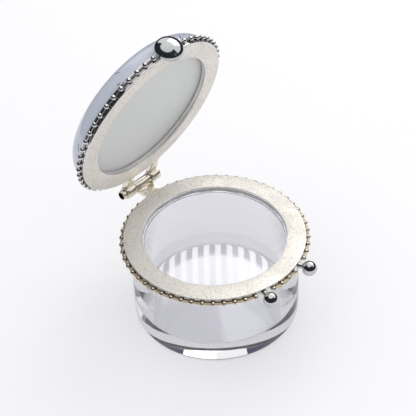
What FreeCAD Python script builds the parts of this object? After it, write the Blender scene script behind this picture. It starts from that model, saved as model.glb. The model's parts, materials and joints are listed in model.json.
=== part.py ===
import FreeCAD, Part
import math
import operator
import os
import types
import Sketcher

# Round glass trinket box with a hinged, domed lid, drawn with the lid open.
# Origin: centre of the jar's flat underside. +Z is up, -Y the front with the knob, +Y the hinge.
# Sizes are in millimetres, angles in degrees.

SIZES = {
    # glass jar
    "jar_radius": 32.4,
    "jar_height": 34.3,
    "jar_wall": 5.4,
    "jar_floor": 6.4,
    "jar_heel": 1.8,
    "jar_lip_round": 0.6,
    "jar_foot_round": 1.2,
    # metal mount, alike on the base and the lid
    "bed_thickness": 1.4,
    "plate_thickness": 0.8,
    "plate_chamfer": 0.25,
    "rim_overhang": 2.6,
    "mouth_step": 0.7,
    "collar_thickness": 0.8,
    "band_height": 2.2,
    "band_thickness": 0.8,
    # bead wire
    "bead_count": 56,
    "bead_radius": 1.0,
    "bead_stand": 0.7,
    "bead_tuck": 0.1,
    "bead_gap": 0.3,
    "bead_core": 0.45,
    # ball grips on the base, placed in bead pitches from the front
    "catch_radius": 2.9,
    "catch_stand": 4.5,
    "catch_drop": 0.95,
    "catch_stem": 1.1,
    "catch_fillet": 0.5,
    "catch_place": 2.5,
    # lid
    "lid_gap": 0.3,
    "lid_angle": 72.8,
    "disc_thickness": 0.7,
    "dome_inset": 0.2,
    "dome_height": 12.6,
    "dome_shoulder": 8.0,
    "dome_wall": 1.6,
    # thumb knob on the lid
    "knob_radius": 5.4,
    "knob_height": 3.9,
    "knob_shoulder": 3.2,
    "knob_edge": 0.3,
    "knob_clearance": 0.1,
    "knob_lift": 0.3,
    "knob_stem": 0.9,
    "knob_stem_rise": 0.8,
    # hinge, set a little to the right of the middle
    "hinge_stand": 7.5,
    "hinge_shift": 2.7,
    "barrel_chamfer": 0.3,
    "barrel_gap": 0.15,
    "base_barrel_radius": 2.0,
    "base_barrel": 8.4,
    "base_leaf": 1.6,
    "lid_barrel_radius": 2.6,
    "lid_barrel": 4.6,
    "lid_leaf": 2.4,
    "leaf_setback": 0.4,
    "leaf_root": 2.0,
    "pin_radius": 1.0,
    "pin_clearance": 0.05,
    "pin_head_radius": 1.9,
    "pin_head": 1.8,
    "pin_head_gap": 0.1,
    "pin_dish_radius": 1.5,
    "pin_dish": 0.8,
}


def combined(symbol, work):
    """An operator that joins two sizes, both as numbers and as formulas on the sheet."""
    def join(left, right):
        if not isinstance(right, Size):
            right = Size(str(right), right)
        return Size(f"({left.formula} {symbol} {right.formula})", work(left.number, right.number))
    return join


class Size:
    """A size that holds its number and the formula that binds it to the sheet."""

    def __init__(self, formula, number):
        self.formula = formula
        self.number = number

    __add__ = combined("+", operator.add)
    __sub__ = combined("-", operator.sub)
    __mul__ = combined("*", operator.mul)
    __truediv__ = combined("/", operator.truediv)


def root(size):
    """The square root of a size."""
    return Size(f"sqrt({size.formula})", math.sqrt(size.number))


doc = FreeCAD.newDocument("trinket_box")
sheet = doc.addObject("Spreadsheet::Sheet", "Sizes")
for row, (name, number) in enumerate(SIZES.items(), start=1):
    sheet.set(f"A{row}", name)
    sheet.set(f"B{row}", str(number))
    sheet.setAlias(f"B{row}", name)
doc.recompute()
d = types.SimpleNamespace(**{name: Size(f"Sizes.{name}", number) for name, number in SIZES.items()})

ZERO = Size("0", 0.0)
FULL_TURN = Size("360", 360.0)
FRONT = -90.0
OUTWARD = 1
INWARD = -1
NEAR = 1e-6

# Radii and levels that several pieces share
cavity_radius = d.jar_radius - d.jar_wall
mouth_radius = cavity_radius + d.mouth_step
collar_radius = mouth_radius + d.collar_thickness
rim_radius = d.jar_radius + d.rim_overhang
band_inside = rim_radius - d.band_thickness
plate_bottom = d.jar_height + d.bed_thickness
plate_top = plate_bottom + d.plate_thickness
lid_face = plate_top + d.lid_gap
lid_plate_top = lid_face + d.plate_thickness
lid_band_top = lid_plate_top + d.band_height
disc_bottom = lid_band_top - d.disc_thickness
bead_ring = rim_radius + d.bead_stand
bead_drop = d.bead_radius - d.bead_tuck
bead_pitch = FULL_TURN / d.bead_count
knob_back = bead_ring + d.bead_radius + d.knob_clearance
hinge_y = rim_radius + d.hinge_stand
hinge_z = plate_top + d.lid_gap / 2
lid_barrel_start = d.base_barrel / 2 + d.barrel_gap
lid_barrel_end = lid_barrel_start + d.lid_barrel

# The lid's pieces are drawn closed, then turned open about the hinge pin
base_pose = FreeCAD.Placement()
lid_pose = FreeCAD.Placement(
    FreeCAD.Vector(0, 0, 0),
    FreeCAD.Rotation(FreeCAD.Vector(-1, 0, 0), d.lid_angle.number),
    FreeCAD.Vector(0, hinge_y.number, hinge_z.number),
)
subparts = []


def moved(pose, y=ZERO, z=ZERO, turn=0.0):
    """A pose shifted along Y and Z and turned about the box's upright axis."""
    spin = FreeCAD.Rotation(FreeCAD.Vector(0, 0, 1), turn)
    return pose.multiply(FreeCAD.Placement(FreeCAD.Vector(0, y.number, z.number), spin))


def new_body(label, pose):
    body = doc.addObject("PartDesign::Body", label)
    body.Label = label
    body.Placement = pose
    subparts.append(body)
    return body


def origin_feature(body, role):
    return next(feature for feature in body.Origin.OriginFeatures if feature.Role == role)


def bind(feature, prop, size):
    feature.setExpression(prop, size.formula)


def new_sketch(body, name, plane, offset=ZERO):
    sketch = body.newObject("Sketcher::SketchObject", name)
    sketch.AttachmentSupport = [(origin_feature(body, plane), "")]
    sketch.MapMode = "FlatFace"
    bind(sketch, "AttachmentOffset.Base.z", offset)
    return sketch


def fix_point(sketch, edge, end, place):
    """Ties one point of an edge to a place measured from the sketch's origin."""
    for kind, size, axis in (("DistanceX", place[0], -2), ("DistanceY", place[1], -1)):
        if size is ZERO:
            sketch.addConstraint(Sketcher.Constraint("PointOnObject", edge, end, axis))
            continue
        index = sketch.addConstraint(Sketcher.Constraint(kind, -1, 1, edge, end, size.number))
        bind(sketch, f"Constraints[{index}]", size)


def fix_radius(sketch, edge, radius):
    index = sketch.addConstraint(Sketcher.Constraint("Radius", edge, radius.number))
    bind(sketch, f"Constraints[{index}]", radius)


def vector(place):
    return FreeCAD.Vector(place[0].number, place[1].number, 0)


def arc_middle(start, end, radius, side):
    """The middle of the short arc between two places; OUTWARD bows to the right of the way along."""
    chord = end - start
    rise = radius.number - math.sqrt(radius.number ** 2 - (chord.Length / 2) ** 2)
    right = FreeCAD.Vector(chord.y, -chord.x, 0).normalize()
    return (start + end) * 0.5 + right * (rise * side)


def draw_outline(sketch, places, arcs=None):
    """Closed outline through places; arcs maps a place's number to the arc that starts there."""
    arcs = arcs or {}
    ends = []
    for number, place in enumerate(places):
        start = vector(place)
        end = vector(places[(number + 1) % len(places)])
        if number not in arcs:
            sketch.addGeometry(Part.LineSegment(start, end))
            ends.append((1, 2))
            continue
        radius, side = arcs[number]
        sketch.addGeometry(Part.Arc(start, arc_middle(start, end, radius, side), end))
        ends.append((1, 2) if side == OUTWARD else (2, 1))
    for number, place in enumerate(places):
        before = number - 1 if number else len(places) - 1
        joint = (before, ends[before][1], number, ends[number][0])
        sketch.addConstraint(Sketcher.Constraint("Coincident", *joint))
        fix_point(sketch, number, ends[number][0], place)
    for number, (radius, side) in arcs.items():
        fix_radius(sketch, number, radius)


def draw_circle(sketch, place, radius):
    sketch.addGeometry(Part.Circle(vector(place), FreeCAD.Vector(0, 0, 1), radius.number))
    fix_point(sketch, 0, 3, place)
    fix_radius(sketch, 0, radius)


def revolve(body, name, sketch, angle=FULL_TURN, axis="Z_Axis", kind="PartDesign::Revolution"):
    feature = body.newObject(kind, name)
    feature.Profile = sketch
    feature.ReferenceAxis = (origin_feature(body, axis), [""])
    bind(feature, "Angle", angle)


def pad(body, name, sketch, length):
    feature = body.newObject("PartDesign::Pad", name)
    feature.Profile = sketch
    bind(feature, "Length", length)


def polar_pattern(body, name, original, count, angle):
    """Copies of a feature about the body's upright axis."""
    pattern = body.newObject("PartDesign::PolarPattern", name)
    pattern.Originals = [original]
    pattern.Axis = (origin_feature(body, "Z_Axis"), [""])
    bind(pattern, "Angle", angle)
    bind(pattern, "Occurrences", count)
    body.Tip = pattern


def add_ball(body, name, place, radius):
    """A ball in the plane of the body's X and Z axes."""
    ball = body.newObject("PartDesign::AdditiveSphere", name)
    ball.AttachmentSupport = [(origin_feature(body, "XY_Plane"), "")]
    ball.MapMode = "FlatFace"
    bind(ball, "Radius", radius)
    bind(ball, "AttachmentOffset.Base.x", place[0])
    bind(ball, "AttachmentOffset.Base.z", place[1])
    return ball


def chamfer_ends(body, name, base, radius, size):
    """Bevels the full round edges of one radius on a feature of the body."""
    doc.recompute()
    names = [
        f"Edge{number}"
        for number, edge in enumerate(base.Shape.Edges, start=1)
        if edge.isClosed() and abs(edge.Curve.Radius - radius.number) < NEAR
    ]
    chamfer = body.newObject("PartDesign::Chamfer", name)
    chamfer.Base = (base, names)
    bind(chamfer, "Size", size)


def cut_to_rim(body, bottom, top, depth):
    """Trims what reaches inside the round outer face of the rim."""
    sketch = new_sketch(body, "RimSection", "XZ_Plane")
    inside = rim_radius - depth
    draw_outline(sketch, [(inside, bottom), (rim_radius, bottom), (rim_radius, top), (inside, top)])
    revolve(body, "RimSeat", sketch, kind="PartDesign::Groove")


def oval(half_width, height, shoulder):
    """Quarter oval of a crown arc and a shoulder arc: the crown's radius and where the two meet."""
    reach = half_width - shoulder
    crown = (reach * reach + height * height - shoulder * shoulder) / ((height - shoulder) * 2)
    spread = crown - shoulder
    return crown, reach * crown / spread, (crown - height) * shoulder / spread


def ring(label, pose, inside, outside, bottom, top):
    """A plain strip bent round the box."""
    body = new_body(label, pose)
    sketch = new_sketch(body, "Section", "XZ_Plane")
    draw_outline(sketch, [(inside, bottom), (outside, bottom), (outside, top), (inside, top)])
    revolve(body, "Strip", sketch)


def rim_plate(label, pose, bottom, shown_up):
    """Flat ring whose shown face has small bevels along both edges."""
    body = new_body(label, pose)
    sketch = new_sketch(body, "Section", "XZ_Plane")
    bevel = d.plate_chamfer
    top = bottom + d.plate_thickness
    inside = mouth_radius
    if shown_up:
        shown = [(rim_radius, top - bevel), (rim_radius - bevel, top), (inside + bevel, top),
                 (inside, top - bevel)]
        places = [(inside, bottom), (rim_radius, bottom)] + shown
    else:
        shown = [(inside, bottom + bevel), (inside + bevel, bottom), (rim_radius - bevel, bottom),
                 (rim_radius, bottom + bevel)]
        places = shown + [(rim_radius, top), (inside, top)]
    draw_outline(sketch, places)
    revolve(body, "Plate", sketch)


def glass_jar():
    """Thick straight-sided jar whose cavity has a rounded foot."""
    body = new_body("glass_jar", base_pose)
    sketch = new_sketch(body, "Section", "XZ_Plane")
    heel = d.jar_heel
    lip = d.jar_lip_round
    foot = d.jar_foot_round
    places = [
        (ZERO, ZERO),
        (d.jar_radius - heel, ZERO),
        (d.jar_radius, heel),
        (d.jar_radius, d.jar_height - lip),
        (d.jar_radius - lip, d.jar_height),
        (cavity_radius + lip, d.jar_height),
        (cavity_radius, d.jar_height - lip),
        (cavity_radius, d.jar_floor + foot),
        (cavity_radius - foot, d.jar_floor),
        (ZERO, d.jar_floor),
    ]
    arcs = {1: (heel, OUTWARD), 3: (lip, OUTWARD), 5: (lip, OUTWARD), 7: (foot, INWARD)}
    draw_outline(sketch, places, arcs)
    revolve(body, "Glass", sketch)


def bead_wire(label, pose, first, last, level):
    """Beads on a core wire, flattened on the band; first and last count bead pitches from the front."""
    count = round(last - first) + 1
    span = bead_pitch * (count - 1)
    body = new_body(label, moved(pose, turn=FRONT + first * bead_pitch.number))
    core_sketch = new_sketch(body, "CoreSection", "XZ_Plane")
    draw_circle(core_sketch, (bead_ring, level), d.bead_core)
    revolve(body, "Core", core_sketch, span)
    bead = add_ball(body, "Bead", (bead_ring, level), d.bead_radius)
    polar_pattern(body, "Beads", bead, Size(str(count), count), span)
    cut_to_rim(body, level - d.bead_radius * 2, level + d.bead_radius * 2, d.bead_radius * 2)


def bead_clearance(half_width):
    """Bead pitches that a post of a half width keeps free on each side of its middle."""
    reach = (half_width + d.bead_radius + d.bead_gap).number / bead_ring.number
    return math.degrees(math.asin(reach)) / bead_pitch.number


def next_place(pitches):
    """The first bead place at or after a number of pitches; places lie half a pitch off the front."""
    return math.ceil(pitches - 0.5) + 0.5


def last_place(pitches):
    return math.floor(pitches - 0.5) + 0.5


def bead_wires():
    """Lengths of bead wire between the grips, the knob and the hinge leaves."""
    half_turn = d.bead_count.number / 2
    catch_room = bead_clearance(d.catch_stem)
    front_end = last_place(d.catch_place.number - catch_room)
    side_start = next_place(d.catch_place.number + catch_room)
    base_leaf_end = d.base_barrel / 2 - d.leaf_setback
    lid_leaf_end = lid_barrel_end - d.leaf_setback
    level = plate_bottom - bead_drop
    lid_level = lid_plate_top + bead_drop
    lid_start = next_place(bead_clearance(d.knob_stem))
    bead_wire("base_bead_wire_front", base_pose, -front_end, front_end, level)
    side_end = last_place(half_turn - bead_clearance(base_leaf_end + d.hinge_shift))
    bead_wire("base_bead_wire_right", base_pose, side_start, side_end, level)
    side_end = last_place(half_turn - bead_clearance(base_leaf_end - d.hinge_shift))
    bead_wire("base_bead_wire_left", base_pose, -side_end, -side_start, level)
    side_end = last_place(half_turn - bead_clearance(lid_leaf_end + d.hinge_shift))
    bead_wire("lid_bead_wire_right", lid_pose, lid_start, side_end, lid_level)
    side_end = last_place(half_turn - bead_clearance(lid_leaf_end - d.hinge_shift))
    bead_wire("lid_bead_wire_left", lid_pose, -side_end, -lid_start, lid_level)


def catch_ball(label, side):
    """Ball grip on a short stem that stands out from the base's band and flares into the ball."""
    turn = FRONT + side * d.catch_place.number * bead_pitch.number
    body = new_body(label, moved(base_pose, z=plate_bottom - d.catch_drop, turn=turn))
    middle = rim_radius + d.catch_stand
    flare_level = d.catch_stem + d.catch_fillet
    centres_apart = d.catch_radius + d.catch_fillet
    flare_back = root(centres_apart * centres_apart - flare_level * flare_level)
    ball_share = d.catch_radius / centres_apart
    places = [
        (rim_radius, ZERO),
        (middle + d.catch_radius, ZERO),
        (middle - flare_back * ball_share, flare_level * ball_share),
        (middle - flare_back, d.catch_stem),
        (rim_radius, d.catch_stem),
    ]
    sketch = new_sketch(body, "Section", "XZ_Plane")
    draw_outline(sketch, places, {1: (d.catch_radius, OUTWARD), 2: (d.catch_fillet, INWARD)})
    revolve(body, "Grip", sketch, axis="X_Axis")


def lid_knob():
    """Domed round thumb knob with a flat back, on a stem that stands out from the lid's edge."""
    body = new_body("lid_knob", moved(lid_pose, z=lid_face + d.knob_lift, turn=FRONT))
    crown, meet_radius, meet_height = oval(d.knob_radius, d.knob_height, d.knob_shoulder)
    widest = knob_back + d.knob_edge
    sketch = new_sketch(body, "Section", "XZ_Plane")
    places = [
        (knob_back, ZERO),
        (widest + d.knob_height, ZERO),
        (widest + meet_height, meet_radius),
        (widest, d.knob_radius),
        (knob_back, d.knob_radius - d.knob_edge),
    ]
    arcs = {1: (crown, OUTWARD), 2: (d.knob_shoulder, OUTWARD), 3: (d.knob_edge, OUTWARD)}
    draw_outline(sketch, places, arcs)
    revolve(body, "Knob", sketch, axis="X_Axis")
    stem_sketch = new_sketch(body, "StemSection", "YZ_Plane", rim_radius)
    draw_circle(stem_sketch, (ZERO, d.knob_stem_rise), d.knob_stem)
    pad(body, "Stem", stem_sketch, widest - rim_radius)


def lid_dome():
    """Domed shell that stands on the lid's band."""
    body = new_body("lid_dome", lid_pose)
    outside = rim_radius - d.dome_inset
    crown, meet_radius, meet_height = oval(outside, d.dome_height, d.dome_shoulder)
    inside = outside - d.dome_wall
    inner_height = d.dome_height - d.dome_wall
    inner_shoulder = d.dome_shoulder - d.dome_wall
    inner_crown, inner_radius, inner_meet = oval(inside, inner_height, inner_shoulder)
    foot = lid_band_top
    places = [
        (inside, foot),
        (outside, foot),
        (meet_radius, foot + meet_height),
        (ZERO, foot + d.dome_height),
        (ZERO, foot + inner_height),
        (inner_radius, foot + inner_meet),
    ]
    arcs = {
        1: (d.dome_shoulder, OUTWARD),
        2: (crown, OUTWARD),
        4: (inner_crown, INWARD),
        5: (inner_shoulder, INWARD),
    }
    sketch = new_sketch(body, "Section", "XZ_Plane")
    draw_outline(sketch, places, arcs)
    revolve(body, "Dome", sketch)


def lid_backing_disc():
    """Flat disc that closes the lid's underside, seated on the collar inside the band."""
    body = new_body("lid_backing_disc", lid_pose)
    sketch = new_sketch(body, "Section", "XZ_Plane")
    top = lid_band_top
    places = [(ZERO, disc_bottom), (band_inside, disc_bottom), (band_inside, top), (ZERO, top)]
    draw_outline(sketch, places)
    revolve(body, "Disc", sketch)


def hinge_knuckle(label, pose, start, length, barrel_radius, leaf_bottom, leaf_thickness, bore_radius):
    """Hinge barrel with a flat leaf that meets the rim; start is the barrel's left end."""
    body = new_body(label, pose)
    leaf_top = leaf_bottom + leaf_thickness
    root_y = rim_radius - d.leaf_root
    leaf_sketch = new_sketch(body, "LeafSection", "YZ_Plane", start + d.leaf_setback)
    leaf_places = [(root_y, leaf_bottom), (hinge_y, leaf_bottom), (hinge_y, leaf_top), (root_y, leaf_top)]
    draw_outline(leaf_sketch, leaf_places)
    pad(body, "Leaf", leaf_sketch, length - d.leaf_setback * 2)
    barrel_sketch = new_sketch(body, "BarrelSection", "YZ_Plane", start)
    draw_circle(barrel_sketch, (hinge_y, hinge_z), barrel_radius)
    pad(body, "Barrel", barrel_sketch, length)
    cut_to_rim(body, leaf_bottom - leaf_thickness, leaf_top + leaf_thickness, d.leaf_root * 2)
    bore_sketch = new_sketch(body, "BoreSection", "YZ_Plane", start)
    draw_circle(bore_sketch, (hinge_y, hinge_z), bore_radius)
    bore = body.newObject("PartDesign::Pocket", "Bore")
    bore.Profile = bore_sketch
    bore.Reversed = True
    bind(bore, "Length", length)
    chamfer_ends(body, "BarrelEnds", bore, barrel_radius, d.barrel_chamfer)


def hinge_pin():
    """Pin with a dished head at its left end, flush with the right-hand barrel."""
    body = new_body("hinge_pin", moved(base_pose, y=hinge_y, z=hinge_z))
    neck = d.hinge_shift - lid_barrel_end - d.pin_head_gap
    tip = neck - d.pin_head
    dish = tip + d.pin_dish
    end = d.hinge_shift + lid_barrel_end
    places = [
        (dish, ZERO),
        (end, ZERO),
        (end, d.pin_radius),
        (neck, d.pin_radius),
        (neck, d.pin_head_radius),
        (tip, d.pin_head_radius),
        (tip, d.pin_dish_radius),
        (dish, d.pin_dish_radius),
    ]
    sketch = new_sketch(body, "Section", "XZ_Plane")
    draw_outline(sketch, places)
    revolve(body, "Pin", sketch, axis="X_Axis")


def hinge():
    """Middle barrel on the base, two barrels on the lid and the pin through them."""
    base_start = d.hinge_shift - d.base_barrel / 2
    base_leaf_bottom = hinge_z - d.base_barrel_radius
    hinge_knuckle("base_hinge_knuckle", base_pose, base_start, d.base_barrel, d.base_barrel_radius,
                  base_leaf_bottom, d.base_leaf, d.pin_radius)
    lid_leaf_bottom = hinge_z + d.lid_barrel_radius - d.lid_leaf
    running_bore = d.pin_radius + d.pin_clearance
    lid_starts = {"left": d.hinge_shift - lid_barrel_end, "right": d.hinge_shift + lid_barrel_start}
    for side, start in lid_starts.items():
        hinge_knuckle(f"lid_hinge_knuckle_{side}", lid_pose, start, d.lid_barrel, d.lid_barrel_radius,
                      lid_leaf_bottom, d.lid_leaf, running_bore)
    hinge_pin()


def build():
    glass_jar()
    ring("rim_bedding", base_pose, collar_radius, d.jar_radius - d.jar_lip_round, d.jar_height, plate_bottom)
    ring("base_collar", base_pose, mouth_radius, collar_radius, d.jar_height, plate_bottom)
    ring("base_gallery_band", base_pose, band_inside, rim_radius, plate_bottom - d.band_height, plate_bottom)
    rim_plate("base_rim_plate", base_pose, plate_bottom, shown_up=True)
    ring("lid_collar", lid_pose, mouth_radius, collar_radius, lid_plate_top, disc_bottom)
    ring("lid_gallery_band", lid_pose, band_inside, rim_radius, lid_plate_top, lid_band_top)
    rim_plate("lid_rim_plate", lid_pose, lid_face, shown_up=False)
    lid_backing_disc()
    lid_dome()
    bead_wires()
    for label, side in (("catch_ball_left", -1), ("catch_ball_right", 1)):
        catch_ball(label, side)
    lid_knob()
    hinge()
    doc.recompute()


def check():
    """Stops unless every feature is sound and every piece is one closed solid."""
    for feature in doc.Objects:
        if "Invalid" in feature.State or "Error" in feature.State:
            raise RuntimeError(f"{feature.Name} failed: {feature.State}")
    for body in subparts:
        shape = body.Shape
        if shape.isNull() or not shape.isValid() or len(shape.Solids) != 1:
            raise RuntimeError(f"{body.Label} is not one sound solid")


def write():
    os.makedirs("parts", exist_ok=True)
    for body in subparts:
        body.Shape.exportStep(f"parts/{body.Label}.step")
        print(body.Label, round(body.Shape.Volume, 2))


build()
check()
write()
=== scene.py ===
"""Looks of a round glass trinket box with a beaded silver mount and a hinged domed lid."""
import json
import math

import bmesh
import bpy
from bpy.props import FloatProperty, FloatVectorProperty, IntProperty, PointerProperty
from mathutils import Matrix, Vector

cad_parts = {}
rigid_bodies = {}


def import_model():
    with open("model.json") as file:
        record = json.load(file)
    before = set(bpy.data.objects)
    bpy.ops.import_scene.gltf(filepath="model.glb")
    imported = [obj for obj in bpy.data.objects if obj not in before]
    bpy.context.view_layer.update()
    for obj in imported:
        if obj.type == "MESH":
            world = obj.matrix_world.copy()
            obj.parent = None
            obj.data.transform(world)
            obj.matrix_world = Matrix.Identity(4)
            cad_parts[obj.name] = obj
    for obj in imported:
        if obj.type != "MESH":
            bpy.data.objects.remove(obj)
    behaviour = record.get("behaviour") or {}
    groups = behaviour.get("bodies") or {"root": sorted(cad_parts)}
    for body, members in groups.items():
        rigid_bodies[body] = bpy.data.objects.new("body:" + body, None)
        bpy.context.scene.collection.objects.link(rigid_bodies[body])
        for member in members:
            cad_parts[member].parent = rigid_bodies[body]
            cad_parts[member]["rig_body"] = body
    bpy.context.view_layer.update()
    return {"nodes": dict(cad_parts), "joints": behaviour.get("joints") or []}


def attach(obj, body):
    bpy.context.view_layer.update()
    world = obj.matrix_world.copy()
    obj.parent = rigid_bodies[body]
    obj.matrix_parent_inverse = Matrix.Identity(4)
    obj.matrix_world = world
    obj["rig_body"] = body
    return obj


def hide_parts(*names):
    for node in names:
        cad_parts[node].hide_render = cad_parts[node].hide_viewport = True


bl_info = {
    "name": "Glass Trinket Box",
    "version": (1, 0, 0),
    "blender": (4, 5, 0),
    "location": "View3D > Sidebar > Trinket Box",
    "description": "Models and finishes a round glass box with a beaded silver mount and a domed lid",
    "category": "Object",
}

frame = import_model()

MM = 0.001
FRONT = math.radians(-90.0)
NEAR = 1e-6
ORIGIN = (0.0, 0.0, 0.0)
ALONG_X = (1.0, 0.0, 0.0)
UPRIGHT = (0.0, 0.0, 1.0)

RING_STEPS = 192
SMALL_STEPS = 64
BEAD_SEGMENTS = 20
BEAD_RINGS = 12
CORE_SIDES = 12
CORE_STEPS_PER_BEAD = 3

# The lid is modelled closed and then turned open about the hinge, as far as it stands at rest
LID_JOINT = frame["joints"][0]
HINGE = Vector(LID_JOINT["pos_m"])
LID_ANGLE = math.radians(-LID_JOINT["range_deg"][0])
LID_TURN = Matrix.Rotation(LID_ANGLE, 4, Vector(LID_JOINT["axis"]))
LID_OPEN = Matrix.Translation(HINGE) @ LID_TURN @ Matrix.Translation(-HINGE)
BASE_POSE = Matrix.Identity(4)


def closed_points(node):
    """A lid node's points with the lid shut, or a base node's points as they are."""
    part = frame["nodes"][node]
    pose = LID_OPEN.inverted() if part["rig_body"] == "lid" else BASE_POSE
    return [pose @ vertex.co for vertex in part.data.vertices]


def closed_box(node):
    """The lowest and highest corner of a node with the lid shut."""
    points = closed_points(node)
    low = Vector(min(point[axis] for point in points) for axis in range(3))
    high = Vector(max(point[axis] for point in points) for axis in range(3))
    return low, high


JAR_TOP = closed_box("glass_jar")[1]
RIM_RADIUS = closed_box("base_rim_plate")[1].x


def length_property(name, description, default):
    return FloatProperty(name=name, description=description, default=default, unit="LENGTH", precision=5)


def colour_property(name, description, default):
    return FloatVectorProperty(
        name=name, description=description, default=default, subtype="COLOR", size=3, min=0.0, max=1.0
    )


class BoxSizes(bpy.types.PropertyGroup):
    """Wall thicknesses, roundings and counts that the frame's boxes don't give."""

    jar_wall: length_property("Jar wall", "Thickness of the glass wall", 5.4 * MM)
    jar_floor: length_property("Jar floor", "Thickness of the glass floor", 6.4 * MM)
    jar_heel: length_property("Jar heel", "Rounding of the jar's lower edge", 1.8 * MM)
    jar_lip: length_property("Jar lip", "Rounding of the jar's upper edges", 0.6 * MM)
    jar_foot: length_property("Cavity foot", "Rounding where the cavity's wall meets its floor", 1.2 * MM)
    strip: length_property("Strip", "Thickness of the collars and bands", 0.8 * MM)
    edge_round: length_property("Edge rounding", "Rounding of the metal strips' edges", 0.2 * MM)
    bead_count: IntProperty(name="Beads", description="Bead places in a full turn", default=56)
    bead_radius: length_property("Bead radius", "Radius of a bead", 1.0 * MM)
    bead_core: length_property("Bead core", "Radius of the wire that joins the beads", 0.45 * MM)
    catch_radius: length_property("Grip radius", "Radius of a ball grip", 2.9 * MM)
    catch_stem: length_property("Grip stem", "Radius of a ball grip's stem", 1.1 * MM)
    catch_flare: length_property("Grip flare", "Rounding between a ball grip and its stem", 0.5 * MM)
    dome_shoulder: length_property("Dome shoulder", "Radius of the dome's shoulder", 8.0 * MM)
    dome_wall: length_property("Dome wall", "Thickness of the dome", 1.6 * MM)
    lining_edge: length_property("Lining edge", "Rounding of the lining disc's edges", 0.1 * MM)
    knob_height: length_property("Knob height", "Height of the thumb knob's domed face", 3.9 * MM)
    knob_shoulder: length_property("Knob shoulder", "Radius of the knob's shoulder", 3.2 * MM)
    knob_edge: length_property("Knob edge", "Rounding of the knob's back edge", 0.3 * MM)
    knob_stem: length_property("Knob stem", "Radius of the knob's stem", 0.9 * MM)
    knob_stem_rise: length_property("Stem rise", "Height of the stem above the knob's middle", 0.8 * MM)
    barrel_bevel: length_property("Barrel bevel", "Bevel at the ends of the hinge barrels", 0.3 * MM)
    leaf_setback: length_property("Leaf setback", "How far a hinge leaf is narrower at each side", 0.4 * MM)
    leaf_end: length_property("Leaf end", "How far a hinge leaf ends before the pin's middle", 1.26 * MM)
    base_leaf: length_property("Base leaf", "Thickness of the base's hinge leaf", 1.6 * MM)
    lid_leaf: length_property("Lid leaf", "Thickness of the lid's hinge leaves", 2.4 * MM)
    pin_radius: length_property("Pin radius", "Radius of the hinge pin", 1.0 * MM)
    pin_bore: length_property("Pin bore", "Radius of the lid barrels' bore", 1.05 * MM)
    pin_edge: length_property("Pin edge", "Rounding of the pin's end and of its dish's edge", 0.1 * MM)
    pin_head: length_property("Pin head", "Length of the hinge pin's head", 1.8 * MM)
    pin_head_edge: length_property("Pin head edge", "Rounding of the pin head's edges", 0.15 * MM)
    pin_dish: length_property("Pin dish", "Depth of the dish in the pin's head", 0.8 * MM)
    pin_dish_radius: length_property("Pin dish radius", "Radius of the dish in the pin's head", 1.5 * MM)
    pin_dish_foot: length_property("Pin dish foot", "Rounding at the bottom of the pin's dish", 0.2 * MM)


class BoxColours(bpy.types.PropertyGroup):
    """Colours of the finishes."""

    glass: colour_property("Glass", "Tint of the clear glass", (0.965, 0.965, 0.995))
    satin: colour_property("Satin silver", "Finely stippled plating", (0.99, 0.95, 0.878))
    polished: colour_property("Polished silver", "Bright plating", (0.92, 0.91, 0.89))
    chrome: colour_property("Chrome", "Darker plating of the knob and grips", (0.72, 0.73, 0.73))
    warm: colour_property("Warm silver", "Plating of the base's beads", (0.93, 0.86, 0.72))
    hinge: colour_property("Hinge", "Pale plating of the hinge barrels", (0.98, 0.92, 0.78))
    # In the corners of the base's beads and of the hinge, gilt is laid as tarnish and painted shade
    gilt: colour_property("Gilt", "Golden cast in corners and between beads", (0.70, 0.56, 0.36))
    # Tarnish and painted shade in the corners; also the base colour of the darkened lid wire and of the
    # pin's dish
    tarnish_and_shade_tone: colour_property("Tarnish and shade", "Dark tarnish and painted shade in the corners of the bright plating", (0.16, 0.14, 0.11))
    enamel: colour_property("Enamel", "Pale glossy dome", (0.66, 0.70, 0.80))
    enamel_mark: colour_property("Enamel marks", "Short brush marks on the dome", (0.10, 0.11, 0.17))
    lining: colour_property("Lining", "Disc inside the lid", (0.80, 0.815, 0.79))
    cement: colour_property("Cement", "Bed between the glass and the mount", (0.72, 0.71, 0.68))
    floor: colour_property("Floor", "Plain pale floor", (0.80, 0.797, 0.815))


def sizes():
    return bpy.context.scene.trinket_sizes


def colours():
    return bpy.context.scene.trinket_colours


# Outlines


def arc(centre, radius, start, end, steps):
    """Places along an arc, from one angle in degrees to another."""
    angles = [math.radians(start + (end - start) * step / steps) for step in range(steps + 1)]
    return [(centre[0] + radius * math.cos(angle), centre[1] + radius * math.sin(angle)) for angle in angles]


def rounded(corners, steps=4):
    """An outline whose corners, each with its own rounding radius, are turned into arcs."""
    places = []
    for number, (along, away, radius) in enumerate(corners):
        corner = Vector((along, away))
        if not radius:
            places.append((along, away))
            continue
        before = (Vector(corners[number - 1][:2]) - corner).normalized()
        after = (Vector(corners[(number + 1) % len(corners)][:2]) - corner).normalized()
        half = before.angle(after) / 2
        reach = radius / math.tan(half)
        centre = corner + (before + after).normalized() * (radius / math.sin(half))
        first = corner + before * reach - centre
        last = corner + after * reach - centre
        for step in range(steps + 1):
            spoke = first.slerp(last, step / steps).normalized()
            places.append(tuple(centre + spoke * radius))
    return places


def oval(half_width, height, shoulder):
    """Quarter oval of a crown arc and a shoulder arc: the crown's radius and the angle where they meet."""
    reach = half_width - shoulder
    crown = (reach ** 2 + height ** 2 - shoulder ** 2) / (2 * (height - shoulder))
    return crown, math.degrees(math.atan2(crown - height, reach))


# Modelling by operators


def pick(*pieces):
    """Leaves edit mode and selects only the pieces given, with the first of them active."""
    if bpy.context.object and bpy.context.object.mode == "EDIT":
        bpy.ops.object.mode_set(mode="OBJECT")
    bpy.ops.object.select_all(action="DESELECT")
    for piece in reversed(pieces):
        piece.select_set(True)
        bpy.context.view_layer.objects.active = piece


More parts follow.
